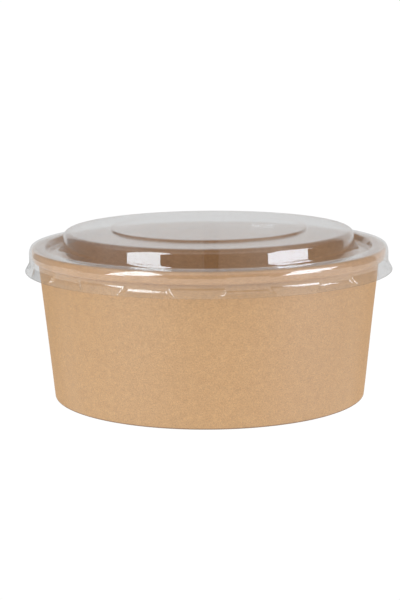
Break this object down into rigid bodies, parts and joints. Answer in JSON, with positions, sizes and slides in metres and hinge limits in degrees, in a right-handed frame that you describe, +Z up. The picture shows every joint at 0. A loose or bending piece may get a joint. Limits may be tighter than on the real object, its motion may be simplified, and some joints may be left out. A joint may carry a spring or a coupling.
{
  "type": "paper salad bowl",
  "caption": "Round kraft-board salad bowl with a tapered wall, rolled rim and recessed base, closed by a clear press-on lid with a raised flat top.",
  "frame": {"origin": "centre of the ring that the bowl stands on, on the bowl's axis", "axes": "+Z up along the bowl's axis; -Y is the front as pictured, the lapped side seam is at the back, near +Y"},
  "size_m": [0.1554, 0.1554, 0.0716],
  "materials": {
    "kraft_board": "uncoated brown kraft board outside, thin clear film inside",
    "clear_sheet": "clear thermoformed PET sheet, glossy"
  },
  "bodies": {
    "bowl": {"sidewall": "kraft_board", "base_disc": "kraft_board"},
    "lid": {"lid": "clear_sheet"}
  },
  "joints": [
    {"name": "lid_lift", "type": "slide", "parent": "bowl", "child": "lid", "axis": [0, 0, 1], "range_m": [0, 0.04]}
  ]
}
